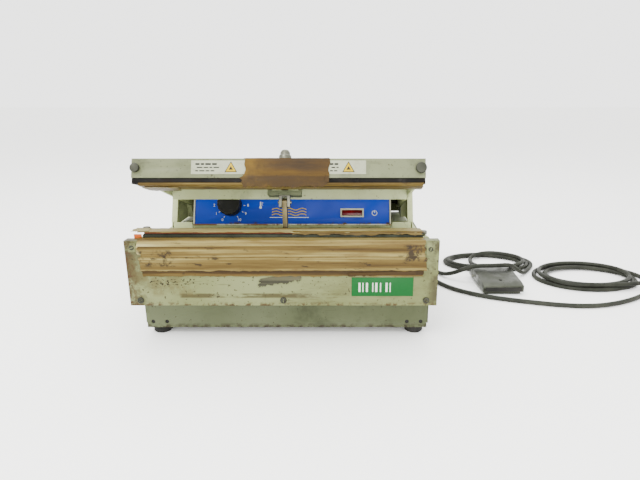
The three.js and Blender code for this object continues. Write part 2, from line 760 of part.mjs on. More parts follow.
// ---- cords ------------------------------------------------------------------------------------------------
function cordTube(points, steps) {
  const path = new THREE.CatmullRomCurve3(points.map((point) => new THREE.Vector3(...point)), false, 'centripetal');
  const section = new THREE.Shape(circlePoints(CORD / 2, 10));
  return new THREE.ExtrudeGeometry(section, { steps, extrudePath: path, bevelEnabled: false });
}

// the outer shape of a loose coil: an oval ring with a flat section
function coilRing({ rx, ry, width, height, x, y }) {
  const low = 0.2;
  const section = [[-width / 2, low + 3], [-width / 2 + 3, low], [width / 2 - 3, low], [width / 2, low + 3], [width / 2 - 4, height], [-width / 2 + 4, height]];
  const profile = [...section, section[0]].map(([r, z]) => [rx + r, z]);
  return turned(profile, 40).scale(1, ry / rx, 1).translate(x, y, 0);
}

const GREY_CORD = () => paint(0x5f6260, 0.7, 0);

// foot switch lead: round the machine's corner, over the pedal, then down to its coil
const switchLead = [
  [GLAND.switchX, glandEnd + GAP, GLAND.z],
  [GLAND.switchX, glandEnd + 7, GLAND.z],
  [116.5, 271, 31.5],
  [119.5, 284, 24],
  [126, 296, 14.5],
  [138, 305, 7],
  [156, 309, FLOOR_Z + 0.4],
  [176, 304.5, FLOOR_Z + 0.4],
  [193, 291, FLOOR_Z + 0.4],
  [204.5, 272, FLOOR_Z + 0.4],
  [212, 250, FLOOR_Z + 0.4],
  [219, 230, FLOOR_Z + 0.6],
  [230, 215.5, 8.5],
  [245, 208, 17],
  [259, 206, 24],
  [275, 206, 25.2],
  [291, 206, 24.8],
  [308, 209, 25.2],
  [323, 214, 23.6],
  [336, 222, 13],
  [344, 229, 6.5],
  [350, 237, FLOOR_Z + 0.6],
];
place('switch_cord', cordTube(switchLead, 78), GREY_CORD());
place('switch_cord_coil', coilRing(SWITCH_COIL), GREY_CORD());

const switchTail = [
  [281.6, 238, 7.2],
  [282.6, 234, 5.2],
  [PEDAL.x - 8, 230.5, 4.6],
  [PEDAL.x - 8, PEDAL.rear - 3 + GAP, 4.6],
];
place('switch_cord_tail', cordTube(switchTail, 6), GREY_CORD());

// mains lead: closer round the corner, across the front of the pedal, then into its coil
const mainsLead = [
  [GLAND.mainsX, glandEnd + GAP, GLAND.z],
  [GLAND.mainsX, glandEnd + 7, GLAND.z],
  [143, 271, 31.5],
  [146.5, 280.5, 25],
  [153, 287.5, 16],
  [163, 290, 8.5],
  [174, 286, FLOOR_Z + 1],
  [183, 276, FLOOR_Z + 0.4],
  [189, 262, FLOOR_Z + 0.4],
  [193, 244, FLOOR_Z + 0.4],
  [198, 220, FLOOR_Z + 0.4],
  [208, 189, FLOOR_Z + 0.4],
  [228, 160, FLOOR_Z + 0.4],
  [259, 138, FLOOR_Z + 0.4],
  [290, 125, FLOOR_Z + 0.4],
  [322, 115, FLOOR_Z + 0.4],
  [352, 106, FLOOR_Z + 0.4],
  [385, 102, FLOOR_Z + 0.4],
  [415, 106, FLOOR_Z + 0.4],
  [445, 118, FLOOR_Z + 0.4],
  [468, 131, FLOOR_Z + 0.4],
];
place('mains_cord', cordTube(mainsLead, 78), GREY_CORD());
place('mains_cord_coil', coilRing(MAINS_COIL), GREY_CORD());

const PLUG = { x: 560, y: 178, z: 13 };
const mainsTail = [
  [520.5, 176.6, 10.5],
  [527, 177.2, 11.4],
  [534, 177.8, 12.6],
  [541, PLUG.y, PLUG.z],
];
place('mains_cord_tail', cordTube(mainsTail, 10), GREY_CORD());

function mainsPlug() {
  const sleeve = turned([[0, 0], [4.6, 0], [5.4, 14], [12, 20], [13, 24], [13, 40], [0, 40]], 20).rotateY(Math.PI / 2);
  const blades = [-6.35, 6.35].map((offset) => box([39, offset - 0.8, -3.2], [57, offset + 0.8, 3.2]));
  const earth = rod('x', 2.4, 39, 60, 0, -8, 12);
  return join(sleeve, ...blades, earth).translate(541 + GAP, PLUG.y, PLUG.z);
}

place('mains_plug', mainsPlug(), BLACK());

export default machine;
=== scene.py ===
"""Looks for the bench jaw heat sealer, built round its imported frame.

Lengths in the making are millimetres measured as on the machine: X to the right along the
jaws, Y back from the front cover's face, Z up from the bench. at() turns them into the frame.
"""
import json
import math

import bmesh
import bpy
from mathutils import Matrix, Vector, noise as waves


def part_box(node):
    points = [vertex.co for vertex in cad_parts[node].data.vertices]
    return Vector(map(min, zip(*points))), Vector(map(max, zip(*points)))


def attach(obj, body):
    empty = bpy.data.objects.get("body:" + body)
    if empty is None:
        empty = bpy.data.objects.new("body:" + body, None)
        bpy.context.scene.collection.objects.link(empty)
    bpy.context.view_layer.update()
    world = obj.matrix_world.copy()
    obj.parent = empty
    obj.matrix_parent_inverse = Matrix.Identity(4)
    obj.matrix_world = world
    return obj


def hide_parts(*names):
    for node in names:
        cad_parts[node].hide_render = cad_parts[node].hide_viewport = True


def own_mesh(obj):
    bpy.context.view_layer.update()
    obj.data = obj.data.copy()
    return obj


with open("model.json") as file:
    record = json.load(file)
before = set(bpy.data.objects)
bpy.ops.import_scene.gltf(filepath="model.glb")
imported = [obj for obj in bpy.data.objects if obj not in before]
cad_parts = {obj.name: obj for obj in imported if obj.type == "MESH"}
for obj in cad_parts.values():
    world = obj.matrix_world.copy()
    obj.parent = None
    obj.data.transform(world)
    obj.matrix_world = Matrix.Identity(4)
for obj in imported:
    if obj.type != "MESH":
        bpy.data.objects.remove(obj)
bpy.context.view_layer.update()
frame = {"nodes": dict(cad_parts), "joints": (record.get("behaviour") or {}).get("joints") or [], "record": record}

MM = 0.001
NODES = frame["nodes"]
BODY_OF = {
    node: body
    for body, members in frame["record"]["behaviour"]["bodies"].items()
    for node in members
}
SLOT_OF = {part["node"]: part["material_slot"] for part in frame["record"]["subparts"]}
JOINTS = {joint["name"]: joint for joint in frame["joints"]}

SCREW_HEAD = 2.2  # how far the cover's fixings stand in front of its face
COVER_LOW, COVER_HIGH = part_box("front_cover")
FACE_Y = COVER_LOW.y + SCREW_HEAD * MM
COVER_TOP = COVER_HIGH.z / MM

PANEL_LEAN = math.radians(21.3)
PANEL_FOOT = (116.0, 107.8)  # Y and Z of the panel plane's lower edge
KNOB_X, KNOB_UP, KNOB_RADIUS = -79.0, 27.5, 14.6
LAMP_UP = 17.5
JAW_TILT = math.radians(-19.5)
JAW_FRONT, JAW_LOW, JAW_HIGH = -197.2, -5.1, 15.5  # the level jaw bar about its hinge line
CORD = 6.3
FLOOR_Z = CORD / 2 + 0.15  # the middle of a lead that lies on the bench
GLOSS = 0.12  # how much of the usual highlight the old, dull surfaces show
UPRIGHT_FACE = Matrix.Rotation(math.pi / 2, 4, "X")  # turns a flat mark to face the front


def at(x, y, z):
    """A machine point in millimetres as a frame point in metres."""
    return Vector((x * MM, FACE_Y + y * MM, z * MM))


HINGE = Vector(JOINTS["jaw_close"]["pos_m"])
JAW_TURN = Matrix.Translation(HINGE) @ Matrix.Rotation(JAW_TILT, 4, "X")


def on_jaw(x, y, z):
    """A point of the level upper jaw, measured from its hinge line, as a frame point."""
    return JAW_TURN @ Vector((x * MM, y * MM, z * MM))


PANEL_TURN = Matrix.Translation(at(0, *PANEL_FOOT)) @ Matrix.Rotation(math.pi / 2 - PANEL_LEAN, 4, "X")


def on_panel(x, up, out=0.0):
    """A point on the control panel: along it, up its slope and out from it."""
    return PANEL_TURN @ Vector((x * MM, up * MM, out * MM))


# ---- camera, light and bench ---------------------------------------------------------------------
def make_camera():
    bpy.ops.object.camera_add(location=at(61.5, -505.5, 261), rotation=(math.radians(74.6), 0, 0))
    camera = bpy.context.object
    camera.data.sensor_width = 36
    camera.data.lens = 28.0
    camera.data.shift_x = -0.03125
    bpy.context.scene.camera = camera


def make_light(name, place, aim, size, watts):
    bpy.ops.object.light_add(type="AREA", location=place)
    lamp = bpy.context.object
    lamp.name = name
    lamp.data.size = size
    lamp.data.energy = watts
    lamp.rotation_euler = (Vector(aim) - Vector(place)).to_track_quat("-Z", "Y").to_euler()


def make_stage():
    bpy.ops.mesh.primitive_plane_add(size=60, location=(0, 0, 0))
    floor = bpy.context.object
    floor.name = "bench_top"
    floor.data.materials.append(FINISHES["bench"])
    world = bpy.data.worlds.new("studio")
    world.use_nodes = True
    background = world.node_tree.nodes["Background"]
    background.inputs["Color"].default_value = (1.0, 1.0, 0.985, 1)
    background.inputs["Strength"].default_value = 3.0
    bpy.context.scene.world = world
    make_light("key_softbox", (-0.5, -1.0, 1.3), (0.05, 0.0, 0.08), 0.8, 30)
    make_light("front_softbox", (0.25, -1.5, 0.35), (0.05, 0.0, 0.12), 0.9, 22)
    make_light("top_softbox", (0.1, 0.5, 1.7), (0.1, 0.0, 0.05), 1.2, 22)


# ---- materials -----------------------------------------------------------------------------------
class Finish:
    """A node material being put together: each method adds nodes and returns an output."""

    def __init__(self, name, roughness=0.5, metallic=0.0):
        self.material = bpy.data.materials.new(name)
        self.material.use_nodes = True
        self.nodes = self.material.node_tree.nodes
        self.links = self.material.node_tree.links
        self.shader = self.nodes["Principled BSDF"]
        self.shader.inputs["Roughness"].default_value = roughness
        self.shader.inputs["Metallic"].default_value = metallic
        self.shader.inputs["Specular IOR Level"].default_value = GLOSS
        self.coords = self.nodes.new("ShaderNodeTexCoord").outputs["Object"]

    def feed(self, node, socket, value):
        target = node.inputs[socket]
        if isinstance(value, bpy.types.NodeSocket):
            self.links.new(value, target)
        elif isinstance(value, (tuple, list)) and len(value) == 3 and len(target.default_value) == 4:
            target.default_value = (*value, 1)
        else:
            target.default_value = value

    def noise(self, scale, detail=4, rough=0.55, stretch=(1, 1, 1), shift=(0, 0, 0)):
        mapping = self.nodes.new("ShaderNodeMapping")
        mapping.inputs["Scale"].default_value = stretch
        mapping.inputs["Location"].default_value = shift
        self.links.new(self.coords, mapping.inputs["Vector"])
        node = self.nodes.new("ShaderNodeTexNoise")
        self.links.new(mapping.outputs["Vector"], node.inputs["Vector"])
        node.inputs["Scale"].default_value = scale
        node.inputs["Detail"].default_value = detail
        node.inputs["Roughness"].default_value = rough
        return node.outputs["Fac"]

    def step(self, value, low, high, start=0.0, end=1.0):
        node = self.nodes.new("ShaderNodeMapRange")
        node.interpolation_type = "SMOOTHSTEP"
        self.feed(node, "Value", value)
        ends = {"From Min": low, "From Max": high, "To Min": start, "To Max": end}
        for socket, number in ends.items():
            node.inputs[socket].default_value = number
        return node.outputs["Result"]

    def axis(self, name):
        node = self.nodes.new("ShaderNodeSeparateXYZ")
        self.links.new(self.coords, node.inputs[0])
        return node.outputs[name]

    def maths(self, operation, a, b):
        node = self.nodes.new("ShaderNodeMath")
        node.operation = operation
        self.feed(node, 0, a)
        self.feed(node, 1, b)
        return node.outputs[0]

    def band(self, axis, low, high, soft):
        """1 between two places along an axis, fading out over soft."""
        place = self.axis(axis)
        rise = self.step(place, low - soft, low)
        fall = self.step(place, high, high + soft, 1, 0)
        return self.maths("MULTIPLY", rise, fall)

    def patch(self, x_span, z_span, soft, texture, low, high, most=1.0):
        """A stain that lies in one stretch of X and Z, broken up by a texture."""
        place = self.maths("MULTIPLY", self.band("X", *x_span, soft), self.band("Z", *z_span, soft * 0.5))
        return self.maths("MULTIPLY", place, self.step(texture, low, high, 0, most))

    def mottle(self, scale, detail, light, shade):
        """The broad, soft change of colour that every old surface has."""
        return self.mix(self.step(self.noise(scale, detail), 0.35, 0.7), light, shade)

    def mix(self, share, a, b):
        node = self.nodes.new("ShaderNodeMix")
        node.data_type = "RGBA"
        self.feed(node, 0, share)
        self.feed(node, 6, a)
        self.feed(node, 7, b)
        return node.outputs[2]

    def ramp(self, value, stops):
        node = self.nodes.new("ShaderNodeValToRGB")
        self.links.new(value, node.inputs["Fac"])
        elements = node.color_ramp.elements
        while len(elements) < len(stops):
            elements.new(0.5)
        for element, (place, colour) in zip(elements, stops):
            element.position = place
            element.color = (*colour, 1)
        return node.outputs["Color"]

    def bump(self, height, strength, distance=0.0004):
        node = self.nodes.new("ShaderNodeBump")
        node.inputs["Strength"].default_value = strength
        node.inputs["Distance"].default_value = distance
        self.links.new(height, node.inputs["Height"])
        before = self.shader.inputs["Normal"].links
        if before:
            self.links.new(before[0].from_socket, node.inputs["Normal"])
        self.links.new(node.outputs["Normal"], self.shader.inputs["Normal"])

    def done(self, colour, roughness=None):
        self.links.new(colour, self.shader.inputs["Base Color"])
        if roughness is not None:
            self.links.new(roughness, self.shader.inputs["Roughness"])
        return self.material


GRIME = (0.018, 0.013, 0.006)
RUST = (0.036, 0.017, 0.005)
STAIN = (0.010, 0.006, 0.003)


def worn_paint(name, light, shade, grime=0.5, chips=0.5, darker_below=0.0):
    """Old sprayed paint: mottled, greasy in patches, speckled, and chipped here and there."""
    f = Finish(name, 0.5)
    colour = f.mottle(9, 5, light, shade)
    film = f.step(f.noise(26, 7, 0.65), 0.50, 0.72, 0, grime)
    colour = f.mix(film, colour, tuple(c * 0.4 for c in shade))
    scratches = f.step(f.noise(210, 3, 0.6, (0.12, 1, 1)), 0.64, 0.73, 0, 0.4 * grime)
    colour = f.mix(scratches, colour, GRIME)
    specks = f.step(f.noise(300, 3, 0.6), 0.64, 0.69, 0, chips)
    colour = f.mix(specks, colour, GRIME)
    if darker_below:
        # darker towards the bottom edge, in patches broken up by noise
        edge = f.step(f.axis("Z"), darker_below, darker_below - 0.006)
        rust = f.maths("MULTIPLY", edge, f.step(f.noise(110, 6, 0.7), 0.46, 0.58))
        colour = f.mix(rust, colour, GRIME)
    f.bump(f.noise(420, 3), 0.12, 0.0002)
    f.bump(specks, -0.2, 0.0002)
    return f.done(colour, f.step(f.noise(30, 4), 0.3, 0.7, 0.38, 0.62))


def cover_paint():
    """The front cover's paint: stained along the tape, rubbed dark and rusty towards its ends."""
    f = Finish("cover_paint", 0.5)
    colour = f.mottle(7, 5, (0.128, 0.140, 0.062), (0.096, 0.105, 0.040))
    smears = f.step(f.noise(18, 7, 0.7, (0.5, 1, 1.6)), 0.50, 0.66, 0, 0.7)
    colour = f.mix(smears, colour, (0.062, 0.062, 0.022))
    coarse = f.noise(60, 6, 0.7)
    fine = f.noise(190, 5, 0.7)
    left = f.maths("MULTIPLY", f.step(f.axis("X"), -0.138, -0.166), f.step(coarse, 0.34, 0.58))
    colour = f.mix(left, colour, (0.032, 0.026, 0.010))
    right = f.maths("MULTIPLY", f.step(f.axis("X"), 0.148, 0.166), f.step(coarse, 0.42, 0.62))
    colour = f.mix(right, colour, (0.040, 0.036, 0.016))
    drawn_out = f.noise(70, 6, 0.7, (0.35, 1, 1))
    smudge = f.patch((-0.110, 0.078), (0.0575, 0.0605), 0.004, drawn_out, 0.37, 0.52, 0.85)
    colour = f.mix(smudge, colour, (0.030, 0.022, 0.006))
    damp = f.patch((-0.160, -0.100), (0.062, 0.100), 0.012, coarse, 0.40, 0.60, 0.55)
    colour = f.mix(damp, colour, (0.060, 0.046, 0.014))
    rim = f.maths("MULTIPLY", f.step(f.axis("Z"), 0.0530, 0.0475), f.step(f.noise(120, 5, 0.7), 0.46, 0.58))
    colour = f.mix(rim, colour, RUST)
    ends = f.maths("MULTIPLY", f.step(f.axis("X"), -0.152, -0.1665), f.step(fine, 0.47, 0.58))
    colour = f.mix(ends, colour, RUST)
    crumbs = f.noise(420, 3, 0.6, (0.7, 1, 1))
    glue = f.patch((-0.143, -0.096), (0.0700, 0.0775), 0.003, crumbs, 0.56, 0.60)
    colour = f.mix(glue, colour, STAIN)
    row = f.patch((-0.090, 0.070), (0.0725, 0.0765), 0.003, crumbs, 0.63, 0.67, 0.9)
    colour = f.mix(row, colour, STAIN)
    specks = f.step(f.noise(260, 3, 0.65), 0.63, 0.68, 0, 0.9)
    colour = f.mix(specks, colour, GRIME)
    scratches = f.step(f.noise(160, 3, 0.6, (0.1, 1, 1)), 0.62, 0.70, 0, 0.45)
    colour = f.mix(scratches, colour, (0.045, 0.042, 0.018))
    f.bump(f.noise(420, 3), 0.12, 0.0002)
    f.bump(glue, 0.5, 0.0004)
    return f.done(colour, f.step(f.noise(30, 4), 0.3, 0.7, 0.35, 0.6))


def metal(name, light, shade, roughness=0.38, brush=(1, 1, 0.06), stain=0.4):
    f = Finish(name, roughness, 0.9)
    colour = f.mix(f.noise(24, 5), light, shade)
    colour = f.mix(f.step(f.noise(90, 6, 0.7), 0.56, 0.72, 0, stain), colour, GRIME)
    f.bump(f.noise(600, 2, 0.5, brush), 0.15, 0.0001)
    return f.done(colour, f.step(f.noise(70, 4), 0.3, 0.7, roughness - 0.1, roughness + 0.2))


def coated_tape(name, stops, blotch=0.6, char=0.5, shift=0.0):
    """Glass cloth tape, scorched in streaks along its length and greasy in blotches."""
    f = Finish(name, 0.5)
    rows = f.noise(60, 5, 0.55, (0.03, 1.2, 2.4), (shift, 0, shift * 2))
    wisps = f.noise(46, 8, 0.62, (0.12, 1.2, 2.0), (shift, 0, shift * 2))
    streaks = f.maths("ADD", f.maths("MULTIPLY", rows, 0.62), f.maths("MULTIPLY", wisps, 0.38))
    colour = f.ramp(streaks, stops)
    grease = f.noise(30, 6, 0.65, (0.35, 1, 1.5), (shift * 3, 0, 0))
    blotches = f.step(grease, 0.55, 0.70, 0, blotch)
    colour = f.mix(blotches, colour, (0.060, 0.032, 0.007))
    flecks = f.noise(150, 6, 0.65, (0.4, 1, 1.2), (0, 0, shift * 5))
    burnt = f.step(flecks, 0.59, 0.645, 0, char)
    colour = f.mix(burnt, colour, STAIN)
    scorch = f.noise(75, 6, 0.72)
    left = f.patch((-0.150, -0.120), (0.0945, 0.1085), 0.008, scorch, 0.44, 0.56, 0.95)
    colour = f.mix(left, colour, (0.014, 0.009, 0.004))
    right = f.patch((0.134, 0.158), (0.1000, 0.1150), 0.007, scorch, 0.46, 0.57, 0.95)
    colour = f.mix(right, colour, (0.016, 0.010, 0.005))
    weave = f.noise(900, 1, 0.5, (1, 0.5, 0.5))
    f.bump(streaks, 0.5, 0.0006)
    f.bump(weave, 0.15, 0.0002)
    return f.done(colour, f.step(streaks, 0.3, 0.7, 0.32, 0.6))


def plastic(name, light, shade, roughness=0.45, grain=700):
    f = Finish(name, roughness)
    colour = f.mottle(40, 5, light, shade)
    dust = f.step(f.noise(150, 5, 0.7), 0.55, 0.75, 0, 0.18)
    colour = f.mix(dust, colour, tuple(min(1, c * 2 + 0.05) for c in shade))
    f.bump(f.noise(grain, 2), 0.12, 0.0001)
    return f.done(colour, f.step(f.noise(60, 4), 0.3, 0.7, roughness - 0.08, roughness + 0.14))


def panel_blue():
    f = Finish("panel_blue", 0.42)
    fading = f.step(f.noise(14, 5), 0.3, 0.7)
    colour = f.mix(fading, (0.0030, 0.026, 0.270), (0.0025, 0.021, 0.215))
    rubs = f.step(f.noise(90, 6, 0.7, (0.4, 1, 1)), 0.60, 0.74, 0, 0.35)
    colour = f.mix(rubs, colour, (0.014, 0.045, 0.16))
    foot = f.step(f.axis("Z"), 0.1145, 0.1115)
    rust = f.maths("MULTIPLY", foot, f.step(f.noise(80, 6, 0.7), 0.52, 0.62))
    colour = f.mix(rust, colour, RUST)
    f.bump(f.noise(380, 3), 0.1, 0.0002)
    return f.done(colour, f.step(f.noise(50, 4), 0.3, 0.7, 0.32, 0.5))


def frame_trim():
    """The panel's edge strip: cream, rusty along its foot."""
    f = Finish("frame_trim", 0.4, 0.2)
    colour = f.mix(f.noise(60, 5), (0.34, 0.34, 0.25), (0.22, 0.22, 0.155))
    foot = f.step(f.axis("Z"), 0.1125, 0.1105)
    runs = f.step(f.noise(50, 6, 0.7, (1, 1, 0.2)), 0.42, 0.56)
    colour = f.mix(f.maths("MULTIPLY", foot, runs), colour, (0.085, 0.036, 0.012))
    f.bump(f.noise(500, 3), 0.15, 0.0002)
    return f.done(colour)


def red_lens():
    f = Finish("red_lens", 0.18)
    ribs = f.step(f.noise(120, 3, 0.5, (0.4, 1, 1)), 0.35, 0.65)
    colour = f.mix(ribs, (0.080, 0.0015, 0.003), (0.034, 0.001, 0.0015))
    f.shader.inputs["Coat Weight"].default_value = 0.1
    return f.done(colour)


def cord_sheath():
    f = Finish("cord_sheath", 0.55)
    colour = f.mottle(30, 5, (0.020, 0.0215, 0.0155), (0.010, 0.0108, 0.0078))
    dust = f.step(f.noise(140, 6, 0.7), 0.5, 0.75, 0, 0.35)
    colour = f.mix(dust, colour, (0.050, 0.052, 0.038))
    f.bump(f.noise(800, 2), 0.15, 0.0001)
    return f.done(colour, f.step(f.noise(50, 4), 0.3, 0.7, 0.42, 0.65))


def brown_patch():
    """The torn wrapping at the middle of the upper jaw, golden above and burnt below."""
    f = Finish("brown_patch", 0.55)
    creases = f.noise(34, 8, 0.65, (0.25, 1, 1.6))
    colour = f.ramp(creases, BROWN)
    gold = f.maths("MULTIPLY", f.step(f.axis("X"), 0.0, -0.032), f.step(f.noise(40, 5), 0.35, 0.6))
    colour = f.mix(gold, colour, (0.076, 0.042, 0.003))
    burnt = f.step(f.noise(60, 5, 0.7), 0.30, 0.5, 0.45, 0.85)
    low = f.maths("MULTIPLY", f.step(f.axis("Z"), 0.1885, 0.186), burnt)
    colour = f.mix(low, colour, (0.022, 0.012, 0.003))
    spots = f.step(f.noise(190, 4, 0.7), 0.62, 0.7, 0, 0.8)
    colour = f.mix(spots, colour, (0.014, 0.009, 0.004))
    f.bump(creases, 0.6, 0.0008)
    return f.done(colour, f.step(creases, 0.3, 0.7, 0.4, 0.7))


def flat_print(name, colour, rubbed, roughness=0.4, wear=0.3):
    f = Finish(name, roughness)
    shade = f.mix(f.step(f.noise(60, 6, 0.7), 0.5, 0.74, 0, wear), colour, rubbed)
    f.bump(f.noise(500, 2), 0.08, 0.0001)
    return f.done(shade)


def bench_white():
    f = Finish("bench_white", 0.6)
    return f.done(f.mix(f.noise(3, 3), (0.95, 0.95, 0.935), (0.93, 0.93, 0.915)))


TAN = [
    (0.42, (0.018, 0.009, 0.001)),
    (0.48, (0.050, 0.030, 0.005)),
    (0.54, (0.082, 0.055, 0.012)),
    (0.61, (0.165, 0.135, 0.045)),
]
CREAM_TAPE = [
    (0.42, (0.040, 0.022, 0.003)),
    (0.48, (0.092, 0.062, 0.014)),
    (0.55, (0.155, 0.124, 0.040)),
    (0.63, (0.270, 0.245, 0.115)),
]
GREY_SCRAP = [(0.40, (0.014, 0.013, 0.007)), (0.5, (0.034, 0.033, 0.018)), (0.6, (0.066, 0.061, 0.032))]
BROWN = [(0.3, (0.014, 0.007, 0.001)), (0.5, (0.036, 0.018, 0.002)), (0.7, (0.068, 0.038, 0.005))]

FINISHES = {
    "cream_paint": worn_paint("cream_paint", (0.360, 0.390, 0.215), (0.270, 0.290, 0.145), 0.5, 0.6),
    "cover_paint": cover_paint(),
    "jaw_paint": worn_paint("jaw_paint", (0.118, 0.128, 0.072), (0.092, 0.100, 0.052), 0.5, 0.8),
    "grey_paint": worn_paint("grey_paint", (0.074, 0.084, 0.043), (0.052, 0.060, 0.028), 0.6, 0.95, 0.016),
    "dark_bar": metal("dark_bar", (0.030, 0.034, 0.024), (0.016, 0.017, 0.012), 0.55, (0.05, 1, 1), 0.6),
    "steel": metal("steel", (0.135, 0.135, 0.105), (0.070, 0.069, 0.052), 0.4, (1, 1, 0.06), 0.6),
    "dark_steel": metal("dark_steel", (0.050, 0.052, 0.040), (0.020, 0.020, 0.015), 0.45, (1, 1, 0.06), 0.6),
    "black_rubber": plastic("black_rubber", (0.010, 0.010, 0.009), (0.018, 0.017, 0.015), 0.7, 300),
    "black_plastic": plastic("black_plastic", (0.0060, 0.0062, 0.0050), (0.0100, 0.0100, 0.0080), 0.42),
    "black_strip": plastic("black_strip", (0.0022, 0.0018, 0.0014), (0.0060, 0.0040, 0.0025), 0.75, 240),
    "silicone": plastic("silicone", (0.110, 0.034, 0.016), (0.080, 0.024, 0.012), 0.55, 300),
    "tape": coated_tape("tape_tan", TAN),
    "tape_cream": coated_tape("tape_cream", CREAM_TAPE, 0.4, 0.4, 0.7),
    "tape_scorched": coated_tape("tape_scorched", TAN, 0.85, 0.8, 1.9),
    "tape_grey": coated_tape("tape_grey", GREY_SCRAP, 0.2, 0.3, 2.6),
    "brown_tape": brown_patch(),
    "blue_panel": panel_blue(),
    "trim": frame_trim(),
    "red_lens": red_lens(),
    "strap_metal": metal("strap_metal", (0.120, 0.100, 0.050), (0.062, 0.050, 0.024), 0.45),
    "core_steel": metal("core_steel", (0.060, 0.055, 0.045), (0.030, 0.027, 0.022), 0.5),
    "cord_sheath": cord_sheath(),
    "pedal_metal": metal("pedal_metal", (0.070, 0.074, 0.058), (0.026, 0.028, 0.021), 0.36, (1, 1, 0.3), 0.5),
    "green_label": flat_print("green_label", (0.0008, 0.056, 0.009), (0.010, 0.060, 0.012)),
    "white_label": flat_print("white_label", (0.235, 0.245, 0.170), (0.110, 0.100, 0.055), 0.45, 0.6),
    "yellow_print": flat_print("yellow_print", (0.300, 0.205, 0.000), (0.165, 0.118, 0.001)),
    "white_print": flat_print("white_print", (0.400, 0.420, 0.360), (0.180, 0.210, 0.230)),
    "black_print": flat_print("black_print", (0.008, 0.008, 0.007), (0.040, 0.040, 0.034)),
    "orange_scrap": flat_print("orange_scrap", (0.300, 0.060, 0.008), (0.150, 0.030, 0.006)),
    "spring_steel": metal("spring_steel", (0.160, 0.150, 0.125), (0.100, 0.095, 0.080), 0.35),
    "bench": bench_white(),
}


# ---- making tools --------------------------------------------------------------------------------
def only(obj):
    """Selects one object, and nothing else, as the one being worked on."""
    bpy.ops.object.select_all(action="DESELECT")
    obj.select_set(True)
    bpy.context.view_layer.objects.active = obj


def settle(obj, name, body, finish, slot, *replaced):
    """Names a finished piece, gives it its finish and lets it ride on its body."""
    only(obj)
    bpy.ops.object.transform_apply(location=True, rotation=True, scale=True)
    obj.name = name
    obj.data.name = name
    obj.data.materials.clear()
    obj.data.materials.append(FINISHES[finish])
    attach(obj, body)
    if replaced:
        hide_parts(*replaced)
    return obj


def apply_modifiers(obj):
    only(obj)
    for modifier in list(obj.modifiers):
        bpy.ops.object.modifier_apply(modifier=modifier.name)


def bevelled(obj, width, segments=2, angle=35):
    modifier = obj.modifiers.new("edges", "BEVEL")
    modifier.width = width * MM
    modifier.segments = segments
    modifier.limit_method = "ANGLE"
    modifier.angle_limit = math.radians(angle)
    modifier.use_clamp_overlap = True
    apply_modifiers(obj)
    bpy.ops.object.shade_smooth_by_angle(angle=math.radians(35))


def block(low, high):
    """A box between two machine points, in edit-ready form."""
    a, b = at(*low), at(*high)
    bpy.ops.mesh.primitive_cube_add(size=1, location=(a + b) / 2)
    obj = bpy.context.object
    obj.scale = [abs(b[i] - a[i]) for i in range(3)]
    bpy.ops.object.transform_apply(location=True, rotation=True, scale=True)
    return obj


def eased(node, finish, width):
    """A copy of a CAD piece in its place, with its doubles merged and its edges rounded."""
    source = NODES[node]
    obj = source.copy()
    obj.data = source.data.copy()
    obj.parent = None
    bpy.context.scene.collection.objects.link(obj)
    for key in list(obj.keys()):
        if key.startswith("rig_"):
            del obj[key]
    only(obj)
    bpy.ops.object.mode_set(mode="EDIT")
    bpy.ops.mesh.select_all(action="SELECT")
    bpy.ops.mesh.remove_doubles(threshold=0.00001)
    bpy.ops.mesh.dissolve_limited(angle_limit=math.radians(1))
    bpy.ops.object.mode_set(mode="OBJECT")
    bevelled(obj, width, 2, 30)
    return settle(obj, node + "_finished", BODY_OF[node], finish, SLOT_OF[node], node)


def tape_strip(x0, x1, path, thickness, rag, ripple, columns, seed, place=at):
    """A length of tape laid along X over a bent path of (y, z) points, ragged at its ends and foot."""
    bpy.ops.mesh.primitive_grid_add(x_subdivisions=columns, y_subdivisions=len(path) * 4, size=1)
    obj = bpy.context.object
    lengths = [math.dist(a, b) for a, b in zip(path, path[1:])]
    total = sum(lengths)

    def point_on(distance):
        last = len(lengths) - 1
        for index, (start, end, length) in enumerate(zip(path, path[1:], lengths)):
            if distance <= length or index == last:
                share = distance / length
                spot = [a + (b - a) * share for a, b in zip(start, end)]
                return spot, (end[0] - start[0], end[1] - start[1])
            distance -= length

    for vertex in obj.data.vertices:
        along, across = vertex.co.x + 0.5, vertex.co.y + 0.5
        distance = across * total
        if across > 0.5:
            fray = waves.noise(Vector((along * 19, seed * 7.3 + 5, 0)))
            fray += 0.5 * waves.noise(Vector((along * 61, seed * 3.1 + 9, 0)))
            distance += rag * fray * (across * 2 - 1) ** 6
        end_fray = waves.noise(Vector((across * 4.1, seed * 5.7 + (along > 0.5) * 3, 1)))
        x = x0 + along * (x1 - x0) + rag * 2.2 * end_fray * abs(along * 2 - 1) ** 30
        (y, z), (dy, dz) = point_on(min(max(distance, 0), total + rag))
        size = math.hypot(dy, dz)
        lift = ripple * (0.5 + 0.5 * waves.noise(Vector((x * 0.11, distance * 0.5, seed * 2.0))))
        vertex.co = place(x, y + lift * dz / size, z - lift * dy / size)
    modifier = obj.modifiers.new("thickness", "SOLIDIFY")
    modifier.thickness = thickness * MM
    modifier.offset = 0
    apply_modifiers(obj)
    bpy.ops.object.shade_smooth_by_angle(angle=math.radians(40))
    return obj


def recalc(obj):
    only(obj)
    bpy.ops.object.mode_set(mode="EDIT")
    bpy.ops.mesh.select_all(action="SELECT")
    bpy.ops.mesh.normals_make_consistent(inside=False)
    bpy.ops.object.mode_set(mode="OBJECT")


